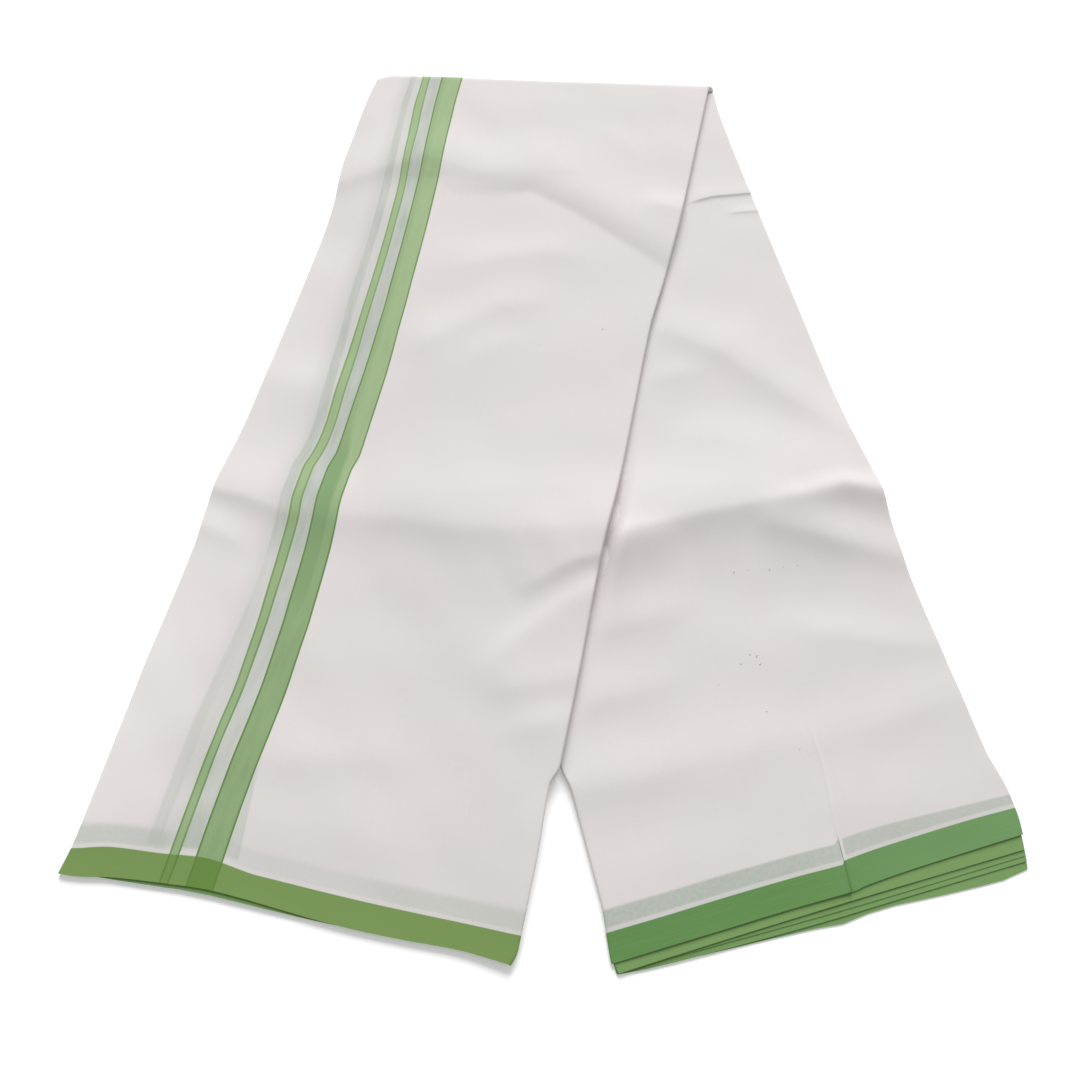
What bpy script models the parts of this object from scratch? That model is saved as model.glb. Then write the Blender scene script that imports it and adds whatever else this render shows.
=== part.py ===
"""Folded dhoti cloth: one white cotton length, pressed into a strip and folded once across.

The strip is folded over a line that crosses it at a slant, so its two legs spread in an
upside-down V. The front leg lies over the rear leg. Both hems end in the green selvedge.
Metres, +Z up. The cloth lies on Z = 0, the fold at the far side (+Y), the hems towards -Y.
"""

from collections import namedtuple
from math import cos, pi, radians, sin, tan

import bmesh
import bpy
import numpy as np
from mathutils import Matrix

# Driving dimensions of the folded cloth
STRIP_WIDTH = 0.252             # the folded strip, side edge to side edge
CLOTH_WIDTH = 1.270             # selvedge to selvedge, which runs along the strip
LEG_LENGTH = CLOTH_WIDTH / 2    # where the legs' middle lines meet, to the hem
LEG_LEAN = radians(13.5)        # each leg leans out by this
FOLD_SKEW = radians(3.8)        # the cross fold comes nearer towards its right end
FOLD_SET = 0.0032               # its bulge takes this much off the legs
BORDER = 0.0185                 # woven green selvedge

# The pile of layers, seen from the side
SHEET = 0.0010                  # wall that stands for one pressed bundle of thin cotton
SEAM = 0.0003                   # air between neighbouring walls
FACE_TOP = 0.0041               # top of a leg's outermost sheet
CORE_TOP = FACE_TOP - SHEET - SEAM  # top of what lies below it
REST_TOP = CORE_TOP - SHEET - SEAM  # top of the rear leg's lowest layers
FOLD_BORE = 0.0003              # radius left inside the cross fold
LIFT = FACE_TOP + 2 * FOLD_BORE  # the front leg's underside, where it lies on the rear leg
FOLD_TURN = 6                   # flat runs in the half turn of the cross fold
ROLL_CLEARANCE = 0.0008         # the rear leg's layers start just in front of that turn

# The upper leg comes down to the table beside the lower one
DROP_START = 0.006              # how far outside the lower leg's edge it begins to fall
DROP_RUN = 0.085                # how far it takes to reach the table

# The outermost sheet turns down over the pile at both side edges
CURL = 0.0024                   # radius of that turn
CURL_ARC = 3                    # runs in its quarter circle
CURL_FOOT = 0.0005              # its lower lip stays this far above the table
CORE_INSET = 0.0018             # hidden layers end this far inside the side edges
SLOT = 0.0025                   # depth of the grooves between the hidden layers' edges

FOLD_ROWS = 0.250               # rows are slanted like the fold, less and less, this far down
HEM_ROWS = 0.135                # rows take the hem's shape over this last stretch
COLUMNS = 13                    # runs across a leg
FLAT_COLUMNS = 5                # runs across the flat lower layers

WHITE = (0.76, 0.72, 0.71, 1.0)
GREEN = (0.155, 0.335, 0.085, 1.0)
SHARP = radians(40)             # edges sharper than this are shaded as edges

# How far a leg's rows run along it, from the fold to the hem, with what step
RowRun = namedtuple("RowRun", "until step")
ROW_RUNS = [
    RowRun(0.080, 0.0270),
    RowRun(0.170, 0.0150),
    RowRun(0.350, 0.0300),
    RowRun(0.434, 0.0120),
    RowRun(LEG_LENGTH - BORDER, 0.0300),
    RowRun(LEG_LENGTH, BORDER / 2),
]

# Side edges: where each edge runs across the strip, at stations along the leg
Edge = namedtuple("Edge", "along across")
FRONT_LEFT = [
    Edge(0.020, 0.0050), Edge(0.050, 0.0026), Edge(0.105, 0.0024), Edge(0.163, 0.0066),
    Edge(0.272, 0.0038), Edge(0.338, 0.0013), Edge(0.395, -0.0028), Edge(0.430, -0.0013),
    Edge(0.512, -0.0037), Edge(0.587, -0.0054), Edge(0.625, -0.0085), Edge(0.643, -0.0115),
]
FRONT_RIGHT = [
    Edge(-0.020, 0.2585), Edge(0.100, 0.2582), Edge(0.165, 0.2559), Edge(0.214, 0.2530),
    Edge(0.333, 0.2544), Edge(0.384, 0.2531), Edge(0.483, 0.2549), Edge(0.523, 0.2551),
    Edge(0.535, 0.2516), Edge(0.580, 0.2534), Edge(0.633, 0.2545),
]
REAR_LEFT = [
    Edge(-0.020, 0.0030), Edge(0.523, 0.0040), Edge(0.540, 0.0062), Edge(0.600, 0.0030),
    Edge(0.640, 0.0005),
]
REAR_RIGHT = [
    Edge(0.030, 0.2590), Edge(0.071, 0.2545), Edge(0.171, 0.2520), Edge(0.245, 0.2510),
    Edge(0.346, 0.2495), Edge(0.398, 0.2515), Edge(0.437, 0.2488), Edge(0.465, 0.2474),
    Edge(0.575, 0.2478), Edge(0.625, 0.2500), Edge(0.650, 0.2480),
]

# Hems: how far down the leg each layer reaches, at stations across the strip
Hem = namedtuple("Hem", "across along")
FRONT_FACE_HEM = [
    Hem(-0.008, 0.6438), Hem(0.024, 0.6385), Hem(0.050, 0.6358), Hem(0.080, 0.6348),
    Hem(0.160, 0.6370), Hem(0.190, 0.6375), Hem(0.254, 0.6355),
]
FRONT_CORE_HEM = [
    Hem(0.000, 0.6412), Hem(0.050, 0.6378), Hem(0.130, 0.6378), Hem(0.160, 0.6370),
    Hem(0.250, 0.6350),
]
REAR_FACE_HEM = [
    Hem(0.000, 0.6370), Hem(0.120, 0.6350), Hem(0.175, 0.6345), Hem(0.225, 0.6310),
    Hem(0.250, 0.6290),
]
REAR_SECOND_HEM = [
    Hem(0.000, 0.6425), Hem(0.050, 0.6405), Hem(0.150, 0.6395), Hem(0.250, 0.6370),
]
REAR_UPPER_HEM = [
    Hem(0.000, 0.6425), Hem(0.030, 0.6450), Hem(0.120, 0.6460), Hem(0.250, 0.6420),
]
REAR_LOWER_HEM = [
    Hem(0.000, 0.6408), Hem(0.030, 0.6445), Hem(0.120, 0.6480), Hem(0.250, 0.6495),
]
HIDDEN_SETBACK = 0.0010         # each lower hidden layer of the front leg ends this much sooner

# Creases left from the packet's other folds. Each runs straight between two places
# (across, along) and rises by rise, over a near side (towards the hem) and a far side.
Crease = namedtuple("Crease", "across_a along_a across_b along_b rise near far")
FRONT_CREASES = [
    Crease(-0.060, 0.392, 0.330, 0.392, 0.0022, 0.011, 0.024),
    Crease(-0.040, 0.118, 0.170, 0.092, 0.0014, 0.012, 0.020),
    Crease(0.120, 0.082, 0.300, 0.165, 0.0024, 0.013, 0.024),
    Crease(0.130, 0.215, 0.230, 0.190, 0.0010, 0.014, 0.020),
    Crease(0.175, 0.450, 0.300, 0.375, 0.0020, 0.012, 0.018),
    Crease(0.150, 0.520, 0.290, 0.475, 0.0010, 0.014, 0.020),
]
REAR_CREASES = [
    Crease(0.020, 0.392, 0.300, 0.392, 0.0026, 0.010, 0.024),
    Crease(0.160, 0.385, 0.300, 0.490, 0.0018, 0.012, 0.018),
    Crease(0.110, 0.225, 0.300, 0.405, 0.0018, 0.012, 0.022),
    Crease(0.170, 0.140, 0.300, 0.146, 0.0014, 0.008, 0.014),
    Crease(0.000, 0.485, 0.200, 0.475, 0.0009, 0.014, 0.020),
    Crease(-0.020, 0.535, 0.300, 0.540, 0.0009, 0.014, 0.024),
]
CREASE_FADE = 0.045             # length over which a crease dies away at each end
PUFF = 0.0004                   # even rise of the outermost sheets over the pile
UNDER_FADE = 0.028              # the rear leg's creases flatten out under the front leg

Leg = namedtuple("Leg", "side left right")
FRONT = Leg(-1, FRONT_LEFT, FRONT_RIGHT)
REAR = Leg(+1, REAR_LEFT, REAR_RIGHT)


def smooth(value):
    """Ease from 0 to 1 as value goes from 0 to 1."""
    value = min(max(value, 0.0), 1.0)
    return value * value * (3 - 2 * value)


def read_edge(table, along):
    """Where a side edge lies across the strip, at a place along the leg."""
    return float(np.interp(along, [row.along for row in table], [row.across for row in table]))


def read_hem(table, across):
    """How far down the leg a hem lies, at a place across the strip."""
    return float(np.interp(across, [row.across for row in table], [row.along for row in table]))


def to_plan(leg, across, along):
    """Plan position of a place on a leg."""
    out = across - STRIP_WIDTH / 2
    x = out * cos(LEG_LEAN) + leg.side * along * sin(LEG_LEAN)
    y = leg.side * out * sin(LEG_LEAN) - along * cos(LEG_LEAN)
    return x, y


def from_plan(leg, x, y):
    """Place on a leg (across, along) of a plan position."""
    across = x * cos(LEG_LEAN) + leg.side * y * sin(LEG_LEAN) + STRIP_WIDTH / 2
    along = leg.side * x * sin(LEG_LEAN) - y * cos(LEG_LEAN)
    return across, along


def fold_line(leg, across):
    """How far along the leg the cross fold lies, at a place across the strip."""
    turn = leg.side * LEG_LEAN + FOLD_SKEW
    return (across - STRIP_WIDTH / 2) * tan(turn) + FOLD_SET * cos(FOLD_SKEW) / cos(turn)


def crease_rise(creases, across, along):
    """Height that the creases add to the outermost sheet at one place."""
    total = PUFF
    for crease in creases:
        run_across = crease.across_b - crease.across_a
        run_along = crease.along_b - crease.along_a
        length = np.hypot(run_across, run_along)
        from_a = ((across - crease.across_a) * run_across
                  + (along - crease.along_a) * run_along) / length
        aside = ((along - crease.along_a) * run_across
                 - (across - crease.across_a) * run_along) / length
        width = crease.near if aside > 0 else crease.far
        fade = smooth(from_a / CREASE_FADE) * smooth((length - from_a) / CREASE_FADE)
        total += crease.rise * fade * np.exp(-(aside / width) ** 2)
    return total


def front_base(x, y):
    """Height of the front leg's underside: on the rear leg, then down to the table."""
    across, along = from_plan(REAR, x, y)
    outside = read_edge(REAR_LEFT, along) - across
    return LIFT * (1 - smooth((outside - DROP_START) / DROP_RUN))


def rear_base(x, y):
    """The rear leg lies flat on the table."""
    return 0.0


def front_crease(x, y):
    """Creases of the front leg's outermost sheet."""
    across, along = from_plan(FRONT, x, y)
    return crease_rise(FRONT_CREASES, across, along)


def rear_crease(x, y):
    """Creases of the rear leg's outermost sheet, none where the front leg lies on it."""
    across, along = from_plan(FRONT, x, y)
    clear = (across - read_edge(FRONT_RIGHT, along)) / UNDER_FADE
    across, along = from_plan(REAR, x, y)
    return crease_rise(REAR_CREASES, across, along) * smooth(clear)


def row_places():
    """Places of the rows along the leg's middle line, from the fold to the hem."""
    places = [0.0]
    for run in ROW_RUNS:
        count = max(1, round((run.until - places[-1]) / run.step))
        start = places[-1]
        places += [start + (run.until - start) * (i + 1) / count for i in range(count)]
    return places


def along_at(leg, place, across, hem):
    """Rows follow the slanted fold at one end and the hem at the other."""
    near_fold = max(0.0, 1 - place / FOLD_ROWS) ** 2
    near_hem = smooth((place - LEG_LENGTH + HEM_ROWS) / HEM_ROWS)
    return (place + fold_line(leg, across) * near_fold
            + (read_hem(hem, across) - LEG_LENGTH) * near_hem)


def leg_point(leg, across, along, level, base, lift):
    """A point of a leg at one level of its pile; lift raises the outermost sheet."""
    x, y = to_plan(leg, across, along)
    rise = lift(x, y) * level / FACE_TOP if lift else 0.0
    return x, y, base(x, y) + level + rise


def roll_point(across, turn, level, lift):
    """A point of the front leg's pile where it rolls over the cross fold."""
    x, y = to_plan(FRONT, across, fold_line(FRONT, across))
    rise = lift(x, y) * level / FACE_TOP * (1 - turn / pi) if lift else 0.0
    radius = FOLD_BORE + level + rise
    return x, y + radius * sin(turn), FOLD_BORE + FACE_TOP + radius * cos(turn)


def curl_section():
    """The turned-down side edge of an outermost sheet, from its lip up: inset and level."""
    section = [(0.0, CURL_FOOT)]
    for i in range(CURL_ARC + 1):
        angle = pi / 2 * i / CURL_ARC
        section.append((CURL - CURL * cos(angle), FACE_TOP - CURL + CURL * sin(angle)))
    return section


def strip_columns(left, right, count):
    """Places across the strip between two edges."""
    return [left + (right - left) * i / count for i in range(count + 1)]


def face_columns(left, right):
    """Places and levels across an outermost sheet, with both curled edges."""
    curl = curl_section()
    flat = strip_columns(left + CURL, right - CURL, COLUMNS)[1:-1]
    columns = [(left + inset, level) for inset, level in curl]
    columns += [(across, FACE_TOP) for across in flat]
    columns += [(right - inset, level) for inset, level in reversed(curl)]
    return columns


def edges_at(leg, place, hem):
    """Both side edges of a leg on the row at one place."""
    left = read_edge(leg.left, along_at(leg, place, 0.0, hem))
    right = read_edge(leg.right, along_at(leg, place, STRIP_WIDTH, hem))
    return left, right


def roll_rows():
    """Angles of the rows over the cross fold, from the far underside up to the top."""
    return [pi * (FOLD_TURN - i) / FOLD_TURN for i in range(FOLD_TURN)]


def make_material(name, color, roughness):
    """A plain cloth material."""
    material = bpy.data.materials.new(name)
    material.use_nodes = True
    shader = material.node_tree.nodes["Principled BSDF"]
    shader.inputs["Base Color"].default_value = color
    shader.inputs["Roughness"].default_value = roughness
    shader.inputs["Metallic"].default_value = 0.0
    return material


def add_object(name, leg, points, faces, materials, collection):
    """A mesh object in the collection, shaded smooth, its selvedge in the second material."""
    mesh = bpy.data.meshes.new(name)
    mesh.from_pydata(points, [], faces)
    for material in materials:
        mesh.materials.append(material)
    for polygon in mesh.polygons:
        across, along = from_plan(leg, polygon.center.x, polygon.center.y)
        polygon.material_index = int(along > LEG_LENGTH - BORDER)
    mesh.shade_smooth()
    mesh.set_sharp_from_angle(angle=SHARP)
    part = bpy.data.objects.new(name, mesh)
    collection.objects.link(part)
    return part


def grid_faces(rows, columns):
    """Quads of a grid of points stored row by row, facing up when rows run to -Y."""
    faces = []
    for j in range(rows - 1):
        for i in range(columns - 1):
            start = j * columns + i
            faces.append((start, start + columns, start + columns + 1, start + 1))
    return faces


def outer_sheet(name, leg, hem, base, lift, rolls, materials, collection):
    """The outermost sheet of a leg: an open surface with both edges curled, given a wall."""
    points = []
    row_count = 0
    if rolls:
        left, right = edges_at(leg, 0.0, hem)
        for turn in roll_rows():
            for across, level in face_columns(left, right):
                points.append(roll_point(across, turn, level, lift))
            row_count += 1
    for place in row_places():
        left, right = edges_at(leg, place, hem)
        for across, level in face_columns(left, right):
            along = along_at(leg, place, across, hem)
            if not rolls:
                along = max(along, fold_line(leg, across) + ROLL_CLEARANCE)
            points.append(leg_point(leg, across, along, level, base, lift))
        row_count += 1
    faces = grid_faces(row_count, len(points) // row_count)
    sheet = add_object(name, leg, points, faces, materials, collection)
    wall = sheet.modifiers.new("Wall", "SOLIDIFY")
    wall.thickness = SHEET
    wall.offset = -1.0
    wall.use_even_offset = True
    return sheet


Slab = namedtuple("Slab", "top bottom hem")
Ring = namedtuple("Ring", "level hem inset")


def layered_solid(name, leg, slabs, count, base, rolls, materials, collection):
    """Hidden layers as one solid: flat caps, and side walls grooved between the layers."""
    grids = [layer_grid(leg, count, ring, base, rolls) for ring in wall_rings(slabs)]
    rows = len(grids[0])
    columns = count + 1
    points = [point for row in grids[0] for point in row]
    offset = len(points)
    points += [point for row in grids[-1] for point in row]
    faces = grid_faces(rows, columns)
    faces += [tuple(offset + index for index in reversed(face)) for face in faces[:]]
    path = ring_path(rows, columns)
    upper = [row * columns + column for row, column in path]
    for grid in grids[1:-1]:
        lower = [len(points) + i for i in range(len(path))]
        points += [grid[row][column] for row, column in path]
        faces += wall_faces(upper, lower)
        upper = lower
    lowest = [offset + row * columns + column for row, column in path]
    faces += wall_faces(upper, lowest)
    return add_object(name, leg, points, faces, materials, collection)


def stack_slabs(top, hems):
    """Layers of equal thickness down to the table, one for each hem, grooves between them."""
    thickness = (top - (len(hems) - 1) * SEAM) / len(hems)
    slabs = []
    for hem in hems:
        slabs.append(Slab(top, top - thickness, hem))
        top -= thickness + SEAM
    return slabs


def wall_rings(slabs):
    """Rings round the pile from the top down, drawn in at each groove between two layers."""
    rings = []
    for slab, above in zip(slabs, [None] + slabs):
        if above:
            rings.append(Ring(above.bottom, above.hem, SLOT))
            rings.append(Ring(slab.top, above.hem, SLOT))
        rings.append(Ring(slab.top, slab.hem, 0.0))
        rings.append(Ring(slab.bottom, slab.hem, 0.0))
    return rings


def layer_grid(leg, count, ring, base, rolls):
    """Points of one level of a pile, row by row, drawn in by the ring's inset on every side."""
    rows = []
    margin = CORE_INSET + ring.inset
    if rolls:
        left, right = edges_at(leg, 0.0, ring.hem)
        across_row = strip_columns(left + margin, right - margin, count)
        for turn in roll_rows():
            turn = min(turn, pi - ring.inset / FACE_TOP)
            rows.append([roll_point(across, turn, ring.level, None) for across in across_row])
    for place in row_places():
        left, right = edges_at(leg, place, ring.hem)
        row = []
        for across in strip_columns(left + margin, right - margin, count):
            along = along_at(leg, place, across, ring.hem)
            along = min(along, read_hem(ring.hem, across) - ring.inset)
            if not rolls:
                along = max(along, fold_line(leg, across) + ROLL_CLEARANCE + ring.inset)
            row.append(leg_point(leg, across, along, ring.level, base, None))
        rows.append(row)
    return rows


def ring_path(rows, columns):
    """Rows and columns of a grid's outline, in order round it."""
    path = [(0, column) for column in range(columns)]
    path += [(row, columns - 1) for row in range(1, rows)]
    path += [(rows - 1, column) for column in reversed(range(columns - 1))]
    path += [(row, 0) for row in reversed(range(1, rows - 1))]
    return path


def wall_faces(upper, lower):
    """Quads between two rings that run the same way round."""
    faces = []
    for i in range(len(upper)):
        after = (i + 1) % len(upper)
        faces.append((upper[i], upper[after], lower[after], lower[i]))
    return faces


def center_on_origin(parts):
    """Move every mesh so that the box stands on the origin by the middle of its base."""
    corners = np.array([vertex.co for part in parts for vertex in part.data.vertices])
    low = corners.min(axis=0)
    high = corners.max(axis=0)
    shift = Matrix.Translation((-(low[0] + high[0]) / 2, -(low[1] + high[1]) / 2, -low[2]))
    for part in parts:
        part.data.transform(shift)


def face_outward(part):
    """Turn the faces of a closed mesh outward."""
    shape = bmesh.new()
    shape.from_mesh(part.data)
    bmesh.ops.recalc_face_normals(shape, faces=shape.faces)
    shape.to_mesh(part.data)
    shape.free()


def build():
    """Make the folded cloth."""
    for old in list(bpy.data.objects):
        bpy.data.objects.remove(old, do_unlink=True)
    collection = bpy.data.collections.new("folded_dhoti_cloth")
    bpy.context.scene.collection.children.link(collection)
    white = make_material("white_cotton", WHITE, 0.85)
    green = make_material("green_selvedge", GREEN, 0.80)
    cloth = [white, green]

    middle_hem = [Hem(row.across, row.along - HIDDEN_SETBACK) for row in FRONT_CORE_HEM]
    lowest_hem = [Hem(row.across, row.along - 2 * HIDDEN_SETBACK) for row in FRONT_CORE_HEM]
    front_slabs = stack_slabs(CORE_TOP, [FRONT_CORE_HEM, middle_hem, lowest_hem])
    second = [Slab(CORE_TOP, REST_TOP + SEAM, REAR_SECOND_HEM)]
    rear_slabs = stack_slabs(REST_TOP, [REAR_UPPER_HEM, REAR_LOWER_HEM])

    parts = [
        outer_sheet("front_face", FRONT, FRONT_FACE_HEM, front_base, front_crease, True,
                    cloth, collection),
        layered_solid("front_layers", FRONT, front_slabs, COLUMNS, front_base, True,
                      cloth, collection),
        outer_sheet("rear_face", REAR, REAR_FACE_HEM, rear_base, rear_crease, False,
                    cloth, collection),
        layered_solid("rear_second_layer", REAR, second, FLAT_COLUMNS, rear_base, False,
                      cloth, collection),
        layered_solid("rear_layers", REAR, rear_slabs, FLAT_COLUMNS, rear_base, False,
                      cloth, collection),
    ]
    for part in parts:
        if not part.modifiers:
            face_outward(part)
    center_on_origin(parts)


build()
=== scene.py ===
# %% [markdown]
# # A folded dhoti cloth
# A dhoti is one long piece of thin white cotton, about 4 m by 1.27 m. For sale it is pressed
# into a narrow strip of sixteen plies and folded once across, so its two legs spread in a V.
# Both ends of the strip are green selvedges. The solid model gives the place and thickness of
# each leg, and the cells below dress it as real cloth.

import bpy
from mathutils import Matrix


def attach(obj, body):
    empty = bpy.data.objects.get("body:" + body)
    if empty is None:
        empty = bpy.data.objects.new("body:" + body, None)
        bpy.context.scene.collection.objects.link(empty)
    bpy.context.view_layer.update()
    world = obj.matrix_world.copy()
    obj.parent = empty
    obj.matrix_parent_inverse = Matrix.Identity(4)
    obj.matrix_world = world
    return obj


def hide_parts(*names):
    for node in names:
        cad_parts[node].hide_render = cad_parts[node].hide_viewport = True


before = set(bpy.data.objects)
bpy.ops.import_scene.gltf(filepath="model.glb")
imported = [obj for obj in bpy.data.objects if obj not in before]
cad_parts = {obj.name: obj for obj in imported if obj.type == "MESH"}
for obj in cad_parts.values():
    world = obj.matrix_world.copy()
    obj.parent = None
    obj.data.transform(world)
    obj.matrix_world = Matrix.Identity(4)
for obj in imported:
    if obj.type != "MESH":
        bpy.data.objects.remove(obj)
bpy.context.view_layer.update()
print("nodes of the solid model:", sorted(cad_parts))

# %% Modules
from collections import namedtuple
from math import cos, pi, radians, sin, tan

import bpy
import numpy as np
from mathutils import Vector

scene = bpy.context.scene

# %% [markdown]
# ## The strip and its two legs
# A leg is measured as a weaver would: across the strip from its left edge, and along it from
# the cross fold to the hem. Two short functions turn such a place into the plan, and back.
# Everything else, such as edges, hems, creases and stripes, is then given in those terms.

# %% Sizes of the folded strip, in metres
STRIP_WIDTH = 0.252             # side edge to side edge
LEG_LENGTH = 0.635              # from the cross fold to the hem
LEG_LEAN = radians(13.5)        # each leg leans out by this
FOLD_SKEW = radians(3.8)        # the cross fold comes nearer towards its right end
FOLD_SET = 0.0032               # its bulge takes this much off the legs
ROUND_START = 0.018             # its left corner is rounded off from here,
ROUND_RUN = 0.0125              # over this width
ROUND_OFF = 0.0046              # and by this much
BORDER = 0.0185                 # woven green selvedge
PLIES = 16                      # pressed plies in each leg
PILE_TOP = 0.0041               # height of a leg's pile
TOP_THICKNESS = 0.00035         # the ply that shows, with its sizing
CLOTH_THICKNESS = 0.00019       # every other ply
TOP_AIR = 0.00005               # between those two
UNDER_TOP = PILE_TOP - TOP_THICKNESS - TOP_AIR
PITCH = UNDER_TOP / (PLIES - 1)  # one hidden ply and the air under it
FOLD_BORE = 0.0003              # radius left inside the cross fold
LIFT = PILE_TOP + 2 * FOLD_BORE  # the front leg's underside, where it lies on the rear leg
MEETING = (0.0077, 0.3222)      # where the legs' middle lines cross
print(f"{PLIES} plies of {PITCH * 1000:.2f} mm make a leg of {PILE_TOP * 1000:.1f} mm")


# %% Smooth steps and traced lines
def smooth(value):
    """Ease from 0 to 1 as value goes from 0 to 1."""
    value = np.clip(value, 0.0, 1.0)
    return value * value * (3 - 2 * value)


def trace(stations, at):
    """Read a traced line at any place, rounded through its stations without overshoot."""
    places, values = np.array(stations, float).T
    step = np.diff(places)
    slope = np.diff(values) / step
    product = slope[:-1] * slope[1:]
    total = slope[:-1] + slope[1:]
    tangent = np.concatenate([slope[:1], np.zeros(len(product)), slope[-1:]])
    tangent[1:-1] = np.divide(2 * product, total, out=np.zeros(len(product)), where=product > 0)
    at = np.clip(at, places[0], places[-1])
    i = np.clip(np.searchsorted(places, at) - 1, 0, len(step) - 1)
    t = (at - places[i]) / step[i]
    return (values[i] * (1 + 2 * t) * (1 - t) ** 2 + tangent[i] * step[i] * t * (1 - t) ** 2
            + values[i + 1] * t * t * (3 - 2 * t) + tangent[i + 1] * step[i] * t * t * (t - 1))


def mm(*stations):
    """A traced line that is given in millimetres."""
    return [(place / 1000, value / 1000) for place, value in stations]


# %% Side edges: (along, across), in mm
FRONT_LEFT = mm(
    (20, 5), (50, 2.6), (105, 2.4), (163, 6.6), (272, 3.8), (338, 1.3), (395, -2.8), (430, -1.3),
    (512, -3.7), (587, -4.6), (620, -5.6), (643, -8.2))
FRONT_RIGHT = mm(
    (-20, 258.5), (100, 258.2), (165, 255.9), (214, 253), (333, 254.4), (384, 253.1),
    (483, 254.9), (523, 255.1), (535, 251.6), (580, 253.4), (625, 253.5), (634, 251.2))
REAR_LEFT = mm((-20, 3), (523, 4), (540, 6.2), (604, 6), (620, 4.4), (636, 3), (642, 4.6))
REAR_RIGHT = mm(
    (30, 259), (71, 254.5), (171, 252), (245, 251), (346, 249.5), (398, 251.5), (437, 248.8),
    (465, 247.4), (575, 247.8), (603, 251), (616, 250.6), (628, 248.6), (637, 246.6), (647, 242))
Leg = namedtuple("Leg", "side left right")
FRONT = Leg(-1, FRONT_LEFT, FRONT_RIGHT)
REAR = Leg(+1, REAR_LEFT, REAR_RIGHT)


# %% From a place on a leg to the plan, and back
def to_plan(leg, across, along):
    """Plan position of a place on a leg, from where the legs' middle lines cross."""
    out = across - STRIP_WIDTH / 2
    x = out * cos(LEG_LEAN) + leg.side * along * sin(LEG_LEAN)
    y = leg.side * out * sin(LEG_LEAN) - along * cos(LEG_LEAN)
    return x, y


def from_plan(leg, x, y):
    """Place on a leg (across, along) of a plan position."""
    across = x * cos(LEG_LEAN) + leg.side * y * sin(LEG_LEAN) + STRIP_WIDTH / 2
    along = leg.side * x * sin(LEG_LEAN) - y * cos(LEG_LEAN)
    return across, along


def fold_line(leg, across):
    """How far along the leg the cross fold lies, at a place across the strip."""
    turn = leg.side * LEG_LEAN + FOLD_SKEW
    rounding = ROUND_OFF * np.clip((ROUND_START - across) / ROUND_RUN, 0.0, 1.0) ** 2
    return ((across - STRIP_WIDTH / 2) * tan(turn) + FOLD_SET * cos(FOLD_SKEW) / cos(turn)
            + rounding)


hem_middle = to_plan(REAR, STRIP_WIDTH / 2, LEG_LENGTH)
print("middle of the rear hem:", [round(value, 3) for value in hem_middle])

# %% [markdown]
# ## Creases
# The packet was folded smaller before it was laid out, and those folds stay as soft ridges.
# Each is drawn as a line of points with its own height, and has one width towards
# the hem and another, mostly greater, towards the fold. A crisp one breaks at its line, a
# soft one (0) rolls over, and one below 0 falls ever steeper to a sharp foot. A height field
# is enough here: the cloth is pressed flat, so a simulation would only soften these lines.

# %% Creases: crispness, widths to hem and fold, then (across, along, rise), in mm
Crease = namedtuple("Crease", "crisp near far path")


def creases(*rows):
    return [Crease(*row) for row in rows]


FRONT_CREASES = creases(
    (0, 6, 26, [
        (-16, 142, 1.2), (8, 130, 2.2), (30, 115, 2.6), (62, 93, 1.8), (104, 102, 1.6),
        (148, 94, 0.6)]),
    (-1, 21, 30, [
        (96, 104, 0.6), (148, 89, 2.4), (190, 104, 2.5), (232, 124, 2.4), (272, 144, 2)]),
    (0.3, 6, 12, [(222, 106, 0), (240, 105, 1.3), (275, 105, 1.5)]),
    (0, 6, 14, [(168, 24, 0), (200, 48, 0.8), (236, 72, 0)]),
    (0, 6, 15, [(104, 196, 0), (134, 176, 0.9), (166, 163, 1), (210, 162, 0)]),
    (0, 7, 16, [(84, 276, 0), (112, 248, 1.3), (146, 216, 1.4), (200, 194, 0)]),
    (0, 6, 14, [(118, 278, 0), (150, 250, 0.7), (184, 234, 0)]),
    (0, 4, 26, [(-16, 391, 2.3), (18, 394, 2.2), (44, 398, 1.4), (70, 399, 0)]),
    (0, 10, 34, [
        (40, 394, 0.6), (80, 393, 2.4), (120, 387, 4), (164, 386, 4.4), (200, 380, 3.8),
        (232, 372, 3.2), (272, 362, 2.8)]),
    (0, 5, 18, [(140, 362, 0), (190, 352, 0.5), (230, 343, 0.3), (272, 333, 0)]),
    (0.4, 5, 40, [(200, 428, 0), (220, 411, 2.2), (238, 395, 3.4), (272, 379, 3.6)]),
    (0, 12, 9, [(270, 398, 2.2), (238, 426, 1.9), (212, 456, 1.4), (192, 492, 0)]),
    (0, 6, 13, [(186, 494, 0), (222, 481, 1.1), (270, 464, 1)]),
    (0, 5, 10, [(210, 514, 0), (238, 502, 0.9), (270, 488, 0.6)]),
    (0, 7, 14, [(60, 562, 0), (106, 551, 0.8), (148, 541, 0.7), (180, 538, 0)]),
    (0.2, 4, 12, [(-16, 417, 1.3), (14, 423, 1.1), (42, 434, 0)]),
    (0, 7, 16, [(-16, 300, 0.7), (30, 306, 0.6), (64, 300, 0)]))
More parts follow.
